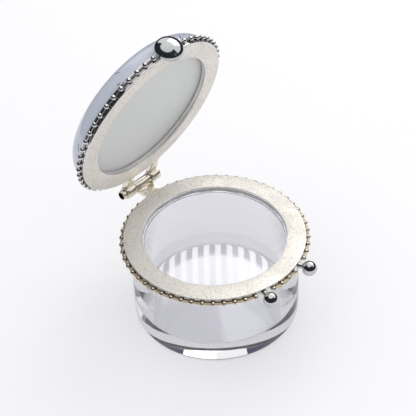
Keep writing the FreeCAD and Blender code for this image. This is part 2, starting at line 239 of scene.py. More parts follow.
def new_piece(name):
    """A single point at the origin, in edit mode, from which a piece is drawn."""
    pick()
    bpy.ops.mesh.primitive_plane_add(size=MM)
    piece = bpy.context.object
    piece.name = name
    piece.data.name = name
    bpy.ops.object.mode_set(mode="EDIT")
    bpy.ops.mesh.select_mode(type="VERT")
    bpy.ops.mesh.select_all(action="SELECT")
    bpy.ops.mesh.merge(type="CENTER")
    return piece


def draw_line(places):
    """Extrudes the selected point along places given as (x, z)."""
    points = [Vector((along, 0.0, away)) for along, away in places]
    bpy.ops.transform.translate(value=points[0])
    for before, after in zip(points, points[1:]):
        bpy.ops.mesh.extrude_vertices_move(TRANSFORM_OT_translate={"value": after - before})


def merge_doubles():
    bpy.ops.mesh.select_all(action="SELECT")
    bpy.ops.mesh.remove_doubles(threshold=NEAR)


def spin_all(steps, angle, axis=UPRIGHT, copies=False):
    """Turns all that is drawn about an axis through the origin, into a surface or into copies."""
    bpy.ops.mesh.select_all(action="SELECT")
    bpy.ops.mesh.spin(steps=steps, dupli=copies, angle=angle, center=ORIGIN, axis=axis)


def clean_faces():
    """Merges doubles and turns all faces outwards."""
    merge_doubles()
    bpy.ops.mesh.normals_make_consistent(inside=False)


def lathe(name, places, steps=RING_STEPS, axis=UPRIGHT, closed=True):
    """Turns an outline of (x, z) places about an axis through the origin; leaves the piece in edit mode."""
    piece = new_piece(name)
    draw_line(list(places) + [places[0]] if closed else places)
    merge_doubles()
    spin_all(steps, math.tau, axis)
    clean_faces()
    return piece


def settle(piece, pose, sharp_angle=35.0):
    """Leaves edit mode, puts the piece in its pose and applies that, so its place is in its mesh."""
    pick(piece)
    piece.matrix_world = pose @ piece.matrix_world
    bpy.ops.object.transform_apply(location=True, rotation=True, scale=True)
    bpy.ops.object.shade_smooth_by_angle(angle=math.radians(sharp_angle))
    return piece


def dress(piece, node, body, slot, *materials):
    """Puts a finished piece on its body in place of a node, with its finishes."""
    for material in materials:
        piece.data.materials.append(material)
    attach(piece, body)
    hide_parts(node)


def pose_of(body):
    return LID_OPEN if body == "lid" else BASE_POSE


def turned(angle, level=0.0):
    """A pose turned about the jar's axis and raised to a level."""
    return Matrix.Translation((0.0, 0.0, level)) @ Matrix.Rotation(angle, 4, "Z")


# Shader nodes

GRID_COLUMNS = 6
GRID_WIDTH = 240
GRID_HEIGHT = 320


def feed(value, socket):
    """Links a socket to another, or sets it to a plain value."""
    if isinstance(value, bpy.types.NodeSocket):
        socket.id_data.links.new(value, socket)
    else:
        socket.default_value = value


def fill(node, values):
    """Feeds a node's inputs by name, and sets those names that aren't inputs as the node's settings."""
    for name, value in values.items():
        if name in node.inputs:
            feed(value, node.inputs[name])
        else:
            setattr(node, name, value)
    return node


def add_node(tree, kind, **values):
    """A new node, set out on a grid in the order in which the nodes are made."""
    row, column = divmod(len(tree.nodes), GRID_COLUMNS)
    node = tree.nodes.new(kind)
    node.location = ((column - GRID_COLUMNS) * GRID_WIDTH, -row * GRID_HEIGHT)
    return fill(node, values)


def new_group(name, inputs, outputs):
    """An empty shader group with float inputs given as {name: default} and float outputs."""
    group = bpy.data.node_groups.new(name, "ShaderNodeTree")
    for label, default in inputs.items():
        socket = group.interface.new_socket(name=label, in_out="INPUT", socket_type="NodeSocketFloat")
        socket.default_value = default
    for label in outputs:
        group.interface.new_socket(name=label, in_out="OUTPUT", socket_type="NodeSocketFloat")
    return group, add_node(group, "NodeGroupInput").outputs, add_node(group, "NodeGroupOutput")


def place_group(tree, group, **values):
    """The outputs of a shader group in a tree, with its own values for the inputs that are named."""
    return add_node(tree, "ShaderNodeGroup", node_tree=group, **values).outputs


def new_material(name):
    """A material with a plain shader, and its tree and shader."""
    material = bpy.data.materials.new(name)
    material.use_nodes = True
    tree = material.node_tree
    return material, tree, tree.nodes["Principled BSDF"]


def object_place(tree):
    return add_node(tree, "ShaderNodeTexCoord").outputs["Object"]


def noise(tree, place, **values):
    """A soft random mask over a linked place."""
    return add_node(tree, "ShaderNodeTexNoise", Vector=place, **values).outputs["Fac"]


def worked(tree, operation, *values):
    """The result of a sum on numbers or linked sockets."""
    node = add_node(tree, "ShaderNodeMath", operation=operation)
    for socket, value in zip(node.inputs, values):
        feed(value, socket)
    return node.outputs["Value"]


def length_of(tree, along, away):
    """How far a place with two linked parts lies from the middle."""
    squares = worked(tree, "MULTIPLY_ADD", along, along, worked(tree, "MULTIPLY", away, away))
    return worked(tree, "SQRT", squares)


def eased(tree, value, start, end):
    """A mask that rises softly from 0 at one value to 1 at another."""
    ends = {"Value": value, "From Min": start, "From Max": end}
    return add_node(tree, "ShaderNodeMapRange", interpolation_type="SMOOTHSTEP", **ends).outputs["Result"]


def between(tree, mask, low, high):
    """Moves a mask from 0..1 to low..high."""
    ends = {"Value": mask, "To Min": low, "To Max": high}
    return add_node(tree, "ShaderNodeMapRange", **ends).outputs["Result"]


def shade(colour, share):
    return tuple(part * share for part in colour)


def blended(tree, mask, low, high):
    """A colour between two others, either given or linked, by a mask."""
    node = add_node(tree, "ShaderNodeMix", data_type="RGBA", Factor=mask)
    ends = [socket for socket in node.inputs if socket.type == "RGBA"]
    for socket, colour in zip(ends, (low, high)):
        feed(colour if isinstance(colour, bpy.types.NodeSocket) else (*colour, 1.0), socket)
    return next(socket for socket in node.outputs if socket.type == "RGBA")


def raise_grain(tree, shader, height, depth):
    """Bumps a shader's surface by a height that is linked, as deep as depth."""
    bump = add_node(tree, "ShaderNodeBump", Height=height, Strength=1.0, Distance=depth)
    feed(bump.outputs["Normal"], shader.inputs["Normal"])


# Effects that several finishes share

FINE_SHARE = 0.6
PIT_SHARE = 0.5
SPECK_EDGE = (0.50, 0.66)
SMEAR_EDGE = (0.42, 0.70)
# Edges of the corner mask, which lays tarnish and painted shade where ambient occlusion finds a corner
TARNISH_AND_SHADE_EDGE = (0.85, 0.30)
TARNISH_AND_SHADE_PATCHES = (0.4, 1.3)


def stipple_group():
    """Fine hammered grain of satin plating: a height for bump and a mask of specks."""
    found = bpy.data.node_groups.get("Satin Stipple")
    if found:
        return found
    group, inputs, outputs = new_group(
        "Satin Stipple", {"Grain": 1900.0, "Coarse": 600.0}, ["Height", "Specks"]
    )
    place = object_place(group)
    fine = noise(group, place, Scale=inputs["Grain"], Detail=3.0, Roughness=0.7)
    coarse = noise(group, place, Scale=inputs["Coarse"], Detail=2.0, Roughness=0.5)
    pits = add_node(group, "ShaderNodeTexVoronoi", feature="SMOOTH_F1", Vector=place, Smoothness=0.5)
    feed(inputs["Grain"], pits.inputs["Scale"])
    grain = worked(group, "MULTIPLY_ADD", fine, FINE_SHARE, coarse)
    height = worked(group, "MULTIPLY_ADD", pits.outputs["Distance"], PIT_SHARE, grain)
    fill(outputs, {"Height": height, "Specks": eased(group, fine, *SPECK_EDGE)})
    return group


def handling_group():
    """Faint smears that handling leaves on bright surfaces."""
    found = bpy.data.node_groups.get("Handling Marks")
    if found:
        return found
    group, inputs, outputs = new_group("Handling Marks", {"Smear": 90.0}, ["Smears"])
    smear = noise(
        group, object_place(group), Scale=inputs["Smear"], Detail=3.0, Roughness=0.6, Distortion=0.6
    )
    fill(outputs, {"Smears": eased(group, smear, *SMEAR_EDGE)})
    return group


def tarnish_and_shade_group():
    """Darkening in corners found by ambient occlusion: tarnish where polishing doesn't reach, and painted
    shade.
    """
    found = bpy.data.node_groups.get("Corner Tarnish")
    if found:
        return found
    group, inputs, outputs = new_group("Corner Tarnish", {"Reach": 0.8 * MM, "Patch": 700.0}, ["Tarnish And Shade"])
    corner = add_node(group, "ShaderNodeAmbientOcclusion", samples=8, Distance=inputs["Reach"])
    patch = noise(group, object_place(group), Scale=inputs["Patch"], Detail=2.0, Roughness=0.6)
    hidden = eased(group, corner.outputs["AO"], *TARNISH_AND_SHADE_EDGE)
    tarnish_and_shade = worked(group, "MULTIPLY", hidden, between(group, patch, *TARNISH_AND_SHADE_PATCHES))
    tarnish_and_shade.node.use_clamp = True
    fill(outputs, {"Tarnish And Shade": tarnish_and_shade})
    return group


# Finishes

SMEARED_SHADE = 0.95
SMEARED_ROUGHNESS = 1.5
GLASS_INDEX = 1.5
GLASS_ROUGHNESS = (0.0, 0.012)
GLASS_SHADOW = (0.97, 0.97, 0.98, 1.0)
CLOUD_SHADES = (0.93, 1.06)
ENAMEL_ROUGHNESS = (0.05, 0.11)
MARK_RADIUS = 30.0 * MM
MARK_CELLS = 170.0
MARK_SHORTEST = 0.2 * MM
MARK_SPREAD = 1.3 * MM
MARK_HALF_WIDTH = 0.19 * MM
MARK_CHANCE = 0.5
BARE_CROWN = 9.0 * MM
LINING_SPECK_SHADE = 1.03
LINING_ROUGHNESS = (0.42, 0.50)
CEMENT_SHADE = 0.93


def silver(name, colour, corner_tarnish_and_shade_colour, roughness, grain_depth, speck_shade, metallic=1.0):
    """Plated metal: bright where its grain is nearly nothing, satin where the grain is deep."""
    found = bpy.data.materials.get(name)
    if found:
        return found
    material, tree, shader = new_material(name)
    stipple = place_group(tree, stipple_group())
    smears = place_group(tree, handling_group())["Smears"]
    tarnish_and_shade = place_group(tree, tarnish_and_shade_group())["Tarnish And Shade"]
    clean = blended(tree, smears, colour, shade(colour, SMEARED_SHADE))
    speckled = blended(tree, stipple["Specks"], clean, shade(colour, speck_shade))
    fill(shader, {
        # Corners take the corner colour by ambient occlusion, as tarnish and painted shade
        "Base Color": blended(tree, tarnish_and_shade, speckled, corner_tarnish_and_shade_colour),
        "Roughness": between(tree, smears, roughness, roughness * SMEARED_ROUGHNESS),
        "Metallic": metallic,
    })
    raise_grain(tree, shader, stipple["Height"], grain_depth)
    return material


def satin_silver():
    """Finely hammered plating of the rim rings."""
    return silver(
        "satin_plating", colours().satin, colours().tarnish_and_shade_tone,
        roughness=0.34, grain_depth=0.10 * MM, speck_shade=0.62, metallic=0.55,
    )


def polished_silver():
    """Bright plating of the strips, the ring edges and the lid's beads."""
    return silver(
        "bright_plating", colours().polished, colours().tarnish_and_shade_tone,
        roughness=0.06, grain_depth=0.0006 * MM, speck_shade=0.98,
    )


def warm_silver():
    """Plating with a hint of gold, on the base's beads."""
    return silver(
        "warm_plating", colours().warm, colours().gilt,
        roughness=0.20, grain_depth=0.0015 * MM, speck_shade=0.95,
    )


def chrome():
    """Mirror plating of the ball grips."""
    return silver(
        "chrome_plating", colours().chrome, colours().tarnish_and_shade_tone,
        roughness=0.04, grain_depth=0.0005 * MM, speck_shade=0.98,
    )


def knob_chrome():
    """Plating of the thumb knob: rougher and grainier than the grips' chrome, and a shade darker as painted
    shade.
    """
    return silver(
        "knob_plating", shade(colours().chrome, 0.9), colours().tarnish_and_shade_tone,
        roughness=0.11, grain_depth=0.006 * MM, speck_shade=0.85,
    )


def shaded_wire_silver():
    """Wire between the lid's beads, darkened as painted shade between the beads."""
    return silver(
        "shaded_wire_plating", shade(colours().polished, 0.5), shade(colours().tarnish_and_shade_tone, 0.4),
        roughness=0.18, grain_depth=0.004 * MM, speck_shade=0.9,
    )


def shaded_lip_silver():
    """Plating of the base's collar, darkened as painted shade along the mount's inner edge."""
    return silver(
        "shaded_lip_plating", shade(colours().polished, 0.55), colours().tarnish_and_shade_tone,
        roughness=0.15, grain_depth=0.001 * MM, speck_shade=0.95,
    )


def gilt_wire():
    """Golden wire between the base's beads."""
    return silver(
        "gilt_wire", shade(colours().gilt, 1.15), shade(colours().gilt, 0.2),
        roughness=0.30, grain_depth=0.02 * MM, speck_shade=0.85, metallic=0.6,
    )


def hinge_silver():
    """Pale plating of the barrels and the pin, golden in the corners."""
    return silver(
        "hinge_plating", colours().hinge, colours().gilt,
        roughness=0.17, grain_depth=0.002 * MM, speck_shade=0.96, metallic=0.85,
    )


def painted_shade_dish():
    """Dish in the pin's head, painted nearly black as painted shade in the dish."""
    return silver(
        "painted_shade_dish", shade(colours().tarnish_and_shade_tone, 0.15), shade(colours().tarnish_and_shade_tone, 0.05),
        roughness=0.40, grain_depth=0.01 * MM, speck_shade=0.8,
    )


def clear_glass():
    """Thick pressed glass with a faint waviness; its shadow lets most of the light through."""
    material, tree, shader = new_material("clear_glass")
    smears = place_group(tree, handling_group())["Smears"]
    fill(shader, {
        "Base Color": (*colours().glass, 1.0),
        "Roughness": between(tree, smears, *GLASS_ROUGHNESS),
        "Transmission Weight": 1.0,
        "IOR": GLASS_INDEX,
    })
    raise_grain(tree, shader, noise(tree, object_place(tree), Scale=70.0, Detail=1.0), depth=0.02 * MM)
    path = add_node(tree, "ShaderNodeLightPath")
    clear = add_node(tree, "ShaderNodeBsdfTransparent", Color=GLASS_SHADOW)
    mix = add_node(tree, "ShaderNodeMixShader", Fac=path.outputs["Is Shadow Ray"])
    feed(shader.outputs["BSDF"], mix.inputs[1])
    feed(clear.outputs["BSDF"], mix.inputs[2])
    feed(mix.outputs["Shader"], tree.nodes["Material Output"].inputs["Surface"])
    return material


def pale_enamel():
    """Glossy pale enamel with soft clouding and short scattered brush marks."""
    material, tree, shader = new_material("pale_enamel")
    closing = LID_OPEN.inverted()
    shut = add_node(
        tree,
        "ShaderNodeMapping",
        Vector=object_place(tree),
        Rotation=closing.to_euler(),
        Location=closing.to_translation(),
    ).outputs["Vector"]
    darker, paler = (shade(colours().enamel, share) for share in CLOUD_SHADES)
    ground = blended(tree, noise(tree, shut, Scale=45.0, Detail=3.0), darker, paler)
    smears = place_group(tree, handling_group())["Smears"]
    fill(shader, {
        "Base Color": blended(tree, brush_marks(tree, shut), ground, colours().enamel_mark),
        "Roughness": between(tree, smears, *ENAMEL_ROUGHNESS),
        "Coat Weight": 0.4,
        "Coat Roughness": 0.03,
    })
    return material


def brush_marks(tree, place):
    """A mask of short strokes, one to a cell, each turned its own way, over a dome about the Z axis."""
    split = add_node(tree, "ShaderNodeSeparateXYZ", Vector=place)
    across, along, up = (split.outputs[axis] for axis in "XYZ")
    radius = length_of(tree, across, along)
    girth = worked(tree, "MULTIPLY", worked(tree, "ARCTAN2", along, across), MARK_RADIUS)
    slope = worked(tree, "SUBTRACT", radius, up)
    flat = add_node(tree, "ShaderNodeCombineXYZ", X=girth, Y=slope).outputs["Vector"]
    cells = add_node(tree, "ShaderNodeTexVoronoi", voronoi_dimensions="2D", Vector=flat, Scale=MARK_CELLS)
    offset = add_node(tree, "ShaderNodeVectorMath", operation="SUBTRACT")
    feed(flat, offset.inputs[0])
    feed(cells.outputs["Position"], offset.inputs[1])
    chance = add_node(tree, "ShaderNodeSeparateColor", Color=cells.outputs["Color"]).outputs
    spin = add_node(tree, "ShaderNodeVectorRotate", rotation_type="Z_AXIS", Vector=offset.outputs["Vector"])
    feed(worked(tree, "MULTIPLY", chance["Red"], math.tau), spin.inputs["Angle"])
    stroke = add_node(tree, "ShaderNodeSeparateXYZ", Vector=spin.outputs["Vector"]).outputs
    reach = worked(tree, "MULTIPLY_ADD", chance["Blue"], MARK_SPREAD, MARK_SHORTEST)
    short = worked(tree, "LESS_THAN", worked(tree, "ABSOLUTE", stroke["X"]), reach)
    thin = worked(tree, "LESS_THAN", worked(tree, "ABSOLUTE", stroke["Y"]), MARK_HALF_WIDTH)
    shown = worked(tree, "GREATER_THAN", chance["Green"], MARK_CHANCE)
    off_crown = worked(tree, "GREATER_THAN", radius, BARE_CROWN)
    mark = worked(tree, "MULTIPLY", short, thin)
    return worked(tree, "MULTIPLY", mark, worked(tree, "MULTIPLY", shown, off_crown))


def grey_lining():
    """Smooth satin board inside the lid."""
    material, tree, shader = new_material("grey_lining")
    stipple = place_group(tree, stipple_group(), Grain=3200.0, Coarse=160.0)
    colour = colours().lining
    fill(shader, {
        "Base Color": blended(tree, stipple["Specks"], colour, shade(colour, LINING_SPECK_SHADE)),
        "Roughness": between(tree, stipple["Specks"], *LINING_ROUGHNESS),
    })
    raise_grain(tree, shader, stipple["Height"], depth=0.004 * MM)
    return material


def cement():
    """Pale setting cement, seen only through the glass."""
    material, tree, shader = new_material("cement")
    stipple = place_group(tree, stipple_group(), Grain=900.0, Coarse=200.0)
    colour = colours().cement
    fill(shader, {
        "Base Color": blended(tree, stipple["Specks"], shade(colour, CEMENT_SHADE), colour),
        "Roughness": 0.85,
    })
    raise_grain(tree, shader, stipple["Height"], depth=0.05 * MM)
    return material


# Pieces


class TRINKET_OT_jar(bpy.types.Operator):
    """Model the thick glass jar with the rounded foot of its cavity"""

    bl_idname = "trinket.jar"
    bl_label = "Glass jar"

    def execute(self, context):
        size = sizes()
        radius, height = JAR_TOP.x, JAR_TOP.z
        cavity = radius - size.jar_wall
        outline = rounded([
            (0.0, 0.0, 0.0),
            (radius, 0.0, size.jar_heel),
            (radius, height, size.jar_lip),
            (cavity, height, size.jar_lip),
            (cavity, size.jar_floor, size.jar_foot),
            (0.0, size.jar_floor, 0.0),
        ], steps=12)
        piece = lathe("jar_glass", outline, closed=False)
        settle(piece, BASE_POSE, sharp_angle=50.0)
        dress(piece, "glass_jar", "base", "clear_glass", clear_glass())
        return {"FINISHED"}


class TRINKET_OT_rims(bpy.types.Operator):
    """Model the flat satin rings on the jar and under the lid"""

    bl_idname = "trinket.rims"
    bl_label = "Rim rings"

    def execute(self, context):
        edge = sizes().edge_round
        mouth = closed_box("base_collar")[1].x - sizes().strip
        for body in ("base", "lid"):
            node = f"{body}_rim_plate"
            low, high = (corner.z for corner in closed_box(node))
            outline = rounded([
                (mouth, low, edge),
                (RIM_RADIUS, low, edge),
                (RIM_RADIUS, high, edge),
                (mouth, high, edge),
            ])
            piece = lathe(node.replace("plate", "ring"), outline)
            self.mark_edges(piece, mouth)
            settle(piece, pose_of(body))
            dress(piece, node, body, "satin_silver", satin_silver(), polished_silver())
        return {"FINISHED"}

    def mark_edges(self, piece, mouth):
        """Gives the ring's round edges the second finish."""
        edge = sizes().edge_round
        mesh = bmesh.from_edit_mesh(piece.data)
        for face in mesh.faces:
            reach = face.calc_center_median().to_2d().length
            face.material_index = int(reach > RIM_RADIUS - edge or reach < mouth + edge)
        bmesh.update_edit_mesh(piece.data)


class TRINKET_OT_strips(bpy.types.Operator):
    """Model the polished collars in the openings and the bands under the rims' edges"""

    bl_idname = "trinket.strips"
    bl_label = "Collars and bands"

    def execute(self, context):
        size = sizes()
        for node in ("base_collar", "lid_collar", "base_gallery_band", "lid_gallery_band"):
            low, high = closed_box(node)
            body = node.split("_")[0]
            inner, outer = high.x - size.strip, high.x
            corners = [(inner, low.z), (outer, low.z), (outer, high.z), (inner, high.z)]
            outline = rounded([(*corner, size.edge_round / 2) for corner in corners], steps=2)
            piece = settle(lathe(f"{node}_strip", outline), pose_of(body))
            # The base's collar is darkened as painted shade
            finish = shaded_lip_silver() if node == "base_collar" else polished_silver()
            dress(piece, node, body, "polished_silver", finish)
        return {"FINISHED"}


class TRINKET_OT_beads(bpy.types.Operator):
    """Model the lengths of bead wire round the base and the lid"""

    bl_idname = "trinket.beads"
    bl_label = "Bead wires"

    def execute(self, context):
        for node in sorted(frame["nodes"]):
            if "bead_wire" in node:
                self.wire(node)
        return {"FINISHED"}

    def wire(self, node):
        """One length of wire: a bead that is flat against the rim, its copies and the core through them."""
        size = sizes()
        body = node.split("_")[0]
        low, high = closed_box(node)
        level = (low.z + high.z) / 2
        points = closed_points(node)
        ring = max(point.to_2d().length for point in points) - size.bead_radius
        half = math.asin(size.bead_radius / ring)
        turns = [(math.atan2(point.y, point.x) - FRONT + math.pi) % math.tau - math.pi for point in points]
        first, last = min(turns) + half, max(turns) - half
        count = round((last - first) / math.tau * size.bead_count) + 1
        bead = new_piece(f"{node}_beads")
        bpy.ops.mesh.delete(type="VERT")
        bpy.ops.mesh.primitive_uv_sphere_add(
            segments=BEAD_SEGMENTS,
            ring_count=BEAD_RINGS,
            radius=size.bead_radius,
            location=(ring, 0.0, level),
        )
        bpy.ops.mesh.bisect(
            plane_co=(RIM_RADIUS, 0.0, level), plane_no=ALONG_X, clear_inner=True, use_fill=True
        )
        spin_all(count - 1, first - last, copies=True)
        bead.data.materials.append(polished_silver() if body == "lid" else warm_silver())
        core = self.core(node, ring, level, first - last, count)
        # The lid's wire is darkened as painted shade between the beads
        core.data.materials.append(shaded_wire_silver() if body == "lid" else gilt_wire())
        pick(bead, core)
        bpy.ops.object.join()
        settle(bead, pose_of(body) @ turned(FRONT + first), sharp_angle=50.0)
        dress(bead, node, body, "polished_silver")

    def core(self, node, ring, level, span, count):
        """The wire that joins the beads, from the middle of the first to the middle of the last."""
        core = new_piece(f"{node}_core")
        draw_line(arc((ring, level), sizes().bead_core, 0.0, 360.0, CORE_SIDES))
        merge_doubles()
        spin_all((count - 1) * CORE_STEPS_PER_BEAD, span)
        bpy.ops.mesh.select_all(action="SELECT")
        bpy.ops.mesh.fill_holes(sides=0)
        clean_faces()
        return core


class TRINKET_OT_grips(bpy.types.Operator):
    """Model the ball grips on the base"""

    bl_idname = "trinket.grips"
    bl_label = "Ball grips"

    def execute(self, context):
        size = sizes()
        for node in ("catch_ball_left", "catch_ball_right"):
            points = closed_points(node)
            low, high = closed_box(node)
            level = (low.z + high.z) / 2
            tip = max(points, key=lambda point: point.to_2d().length)
            middle = tip.to_2d().length - size.catch_radius
            apart = size.catch_radius + size.catch_flare
            flare = size.catch_stem + size.catch_flare
            lean = math.degrees(math.asin(flare / apart))
            back = math.sqrt(apart ** 2 - flare ** 2)
            outline = arc((middle, 0.0), size.catch_radius, 0.0, 180.0 - lean, steps=28)
            outline += arc((middle - back, flare), size.catch_flare, -lean, -90.0, steps=6)[1:]
            outline += [(RIM_RADIUS, size.catch_stem), (RIM_RADIUS, 0.0)]
            name = node.replace("catch_ball", "ball_grip")
            piece = lathe(name, outline, SMALL_STEPS, ALONG_X, closed=False)
            settle(piece, turned(math.atan2(tip.y, tip.x), level))
            dress(piece, node, "base", "polished_silver", chrome())
        return {"FINISHED"}


class TRINKET_OT_knob(bpy.types.Operator):
    """Model the domed thumb knob on the lid's edge"""

    bl_idname = "trinket.knob"
    bl_label = "Thumb knob"

    def execute(self, context):
        size = sizes()
        low, high = closed_box("lid_knob")
        radius = (high.x - low.x) / 2
        level = (low.z + high.z) / 2
        tip = -low.y
        widest = tip - size.knob_height
        back = widest - size.knob_edge
        shoulder, edge = size.knob_shoulder, size.knob_edge
        crown, meet = oval(radius, size.knob_height, shoulder)
        outline = arc((tip - crown, 0.0), crown, 0.0, 90.0 - meet, steps=16)
        outline += arc((widest, radius - shoulder), shoulder, 90.0 - meet, 90.0, steps=12)[1:]
        outline += arc((widest, radius - edge), edge, 90.0, 180.0, steps=4)[1:]
        outline += [(back, 0.0)]
        knob = lathe("thumb_knob", outline, SMALL_STEPS, ALONG_X, closed=False)
        stem_outline = [
            (RIM_RADIUS, 0.0),
            (RIM_RADIUS, size.knob_stem),
            (widest, size.knob_stem),
            (widest, 0.0),
        ]
        stem = lathe("thumb_knob_stem", stem_outline, SMALL_STEPS // 2, ALONG_X, closed=False)
        bpy.ops.mesh.select_all(action="SELECT")
        bpy.ops.transform.translate(value=(0.0, 0.0, size.knob_stem_rise))
        pick(knob, stem)
        bpy.ops.object.join()
        settle(knob, LID_OPEN @ turned(FRONT, level))
        dress(knob, "lid_knob", "lid", "polished_silver", knob_chrome())
        return {"FINISHED"}


class TRINKET_OT_hinge(bpy.types.Operator):
    """Model the hinge barrels with their leaves and the pin through them"""

    bl_idname = "trinket.hinge"
    bl_label = "Hinge"

    def execute(self, context):
        size = sizes()
        self.knuckle("base_hinge_knuckle", "base", size.base_leaf, size.pin_radius, leaf_up=False)
        for side in ("left", "right"):
            self.knuckle(f"lid_hinge_knuckle_{side}", "lid", size.lid_leaf, size.pin_bore, leaf_up=True)
        self.pin()
        return {"FINISHED"}

    def knuckle(self, node, body, leaf, bore, leaf_up):
        """A hinge barrel that is one with its leaf, which lies at the barrel's top or bottom."""
        size = sizes()
        low, high = closed_box(node)
        radius = (high.z - low.z) / 2
        bevel = size.barrel_bevel
        ring = [
            (low.x, bore, 0.0),
            (low.x, radius, bevel),
            (high.x, radius, bevel),
            (high.x, bore, 0.0),
        ]
        barrel = lathe(f"{node}_barrel", rounded(ring, steps=3), SMALL_STEPS, ALONG_X)
        settle(barrel, Matrix.Translation((0.0, HINGE.y, HINGE.z)))
        leaf_low = high.z - leaf if leaf_up else low.z
        leaf_piece = self.leaf(node, low.x + size.leaf_setback, high.x - size.leaf_setback, leaf_low, leaf)
        union = barrel.modifiers.new("LeafUnion", "BOOLEAN")
        union.operation = "UNION"
        union.object = leaf_piece
        pick(barrel)
        bpy.ops.object.modifier_apply(modifier=union.name)
        bpy.data.objects.remove(leaf_piece)
        settle(barrel, pose_of(body))
        dress(barrel, node, body, "polished_silver", hinge_silver())

    def leaf(self, node, left, right, bottom, thickness):
        """Flat tongue from the rim's round face into the barrel, with softened edges."""
        size = sizes()
        piece = new_piece(f"{node}_leaf")
        bpy.ops.mesh.delete(type="VERT")
        root = math.sqrt(RIM_RADIUS ** 2 - max(abs(left), abs(right)) ** 2)
        end = HINGE.y - size.leaf_end
        bpy.ops.mesh.primitive_cube_add(
            size=1.0,
            location=((left + right) / 2, (root + end) / 2, bottom + thickness / 2),
            scale=(right - left, end - root, thickness),
        )
        bpy.ops.mesh.bevel(offset=size.edge_round, segments=2, affect="EDGES")
        clean_faces()
        return settle(piece, BASE_POSE)

    def pin(self):
        """The pin, turned in one piece with its dished head."""
        size = sizes()
        low, high = closed_box("hinge_pin")
        head = (high.z - low.z) / 2
        neck = low.x + size.pin_head
        dish = low.x + size.pin_dish
        outline = rounded([
            (high.x, 0.0, 0.0),
            (high.x, size.pin_radius, size.pin_edge),
            (neck, size.pin_radius, 0.0),
            (neck, head, size.pin_head_edge),
            (low.x, head, size.pin_head_edge),
            (low.x, size.pin_dish_radius, size.pin_edge),
            (dish, size.pin_dish_radius, size.pin_dish_foot),
            (dish, 0.0, 0.0),
        ], steps=3)
        piece = lathe("hinge_pin_turned", outline, SMALL_STEPS, ALONG_X, closed=False)
        self.mark_dish(piece, neck, size.pin_dish_radius + size.pin_edge / 2)
        settle(piece, Matrix.Translation((0.0, HINGE.y, HINGE.z)))
        # The pin's dish takes the nearly black finish of painted shade
        dress(piece, "hinge_pin", "base", "polished_silver", hinge_silver(), painted_shade_dish())

    def mark_dish(self, piece, neck, radius):
        """Gives the dish in the pin's head the second finish."""
        mesh = bmesh.from_edit_mesh(piece.data)
        for face in mesh.faces:
            middle = face.calc_center_median()
            face.material_index = int(middle.x < neck and middle.yz.length < radius)
        bmesh.update_edit_mesh(piece.data)


class TRINKET_OT_dome(bpy.types.Operator):
    """Model the glossy domed shell on the lid"""

    bl_idname = "trinket.dome"
    bl_label = "Lid dome"

    def execute(self, context):
        low, high = closed_box("lid_dome")
        outline = self.quarter(high.x, low.z, high.z, wall=0.0)
        outline += reversed(self.quarter(high.x, low.z, high.z, sizes().dome_wall))
        piece = settle(lathe("dome_shell", outline), LID_OPEN)
        dress(piece, "lid_dome", "lid", "pale_enamel", pale_enamel())
        return {"FINISHED"}

    def quarter(self, radius, foot, top, wall):
        """The dome's profile from its foot to its crown, at a depth below its outer face."""
        bend = sizes().dome_shoulder
        crown, meet = oval(radius, top - foot, bend)
        shoulder = arc((radius - bend, foot), bend - wall, 0.0, meet, steps=16)
        return shoulder + arc((0.0, top - crown), crown - wall, meet, 90.0, steps=24)[1:]


class TRINKET_OT_lining(bpy.types.Operator):
    """Model the flat disc inside the lid and finish the bed under the mount"""

    bl_idname = "trinket.lining"
    bl_label = "Lining and bed"

    def execute(self, context):
        low, high = closed_box("lid_backing_disc")
        edge = sizes().lining_edge
        outline = rounded([
            (0.0, low.z, 0.0),
            (high.x, low.z, edge),
            (high.x, high.z, edge),
            (0.0, high.z, 0.0),
        ], steps=2)
        piece = settle(lathe("lining_disc", outline, closed=False), LID_OPEN)
        dress(piece, "lid_backing_disc", "lid", "grey_lining", grey_lining())
        bed = frame["nodes"]["rim_bedding"]
        bed.data.materials.clear()
        bed.data.materials.append(cement())
        return {"FINISHED"}


# Stage

CAMERA_AZIMUTH = math.radians(-46.0)
CAMERA_HEIGHT = math.radians(42.4)
CAMERA_ROLL = math.radians(-1.844)
CAMERA_DISTANCE = 0.52
CAMERA_TARGET = Vector((0.0, 0.0, 0.04))
CAMERA_LENS = 118.48
CAMERA_SHIFT = (-0.0153, 0.0466)

FLOOR_RADIUS = 1.2
FLOOR_SIDES = 96
FLOOR_SINK = 0.05 * MM
FLOOR_MOTTLE_SHADE = 0.99
FLOOR_LIFT = 0.26
MIRRORED_LIFT = 0.08
WHITE = (1.0, 1.0, 1.0)

# Painted light on the floor under the jar, seen through the glass: its streaks, where it starts inside the
# wall, where its middle and its far part begin, and its strengths
STREAK_PITCH = 4.75 * MM
STREAK_EDGE = (-0.35, 0.45)
WALL_INSETS = (0.6 * MM, 1.8 * MM)
MIDDLE_EDGE = (25.5 * MM, 22.5 * MM)
FAR_EDGE = (-6.0 * MM, 8.0 * MM)
RIM_GLOW = 0.40
INNER_GLOW = 0.33
STREAK_GLOW = 0.11
NEAR_GLOW = 0.11

WORLD_LIFT = 0.50
WORLD_COLOUR = (0.68, 0.68, 0.70)
PANEL_COLOUR = (0.94, 0.94, 0.94)
PANEL_TOWARDS = (0.60, 0.45, 0.66)
PANEL_EDGE = (0.4, 0.95)

CARD_BLACK = (0.014, 0.018, 0.026)
CARD_BLUE = (0.06, 0.06, 0.11)

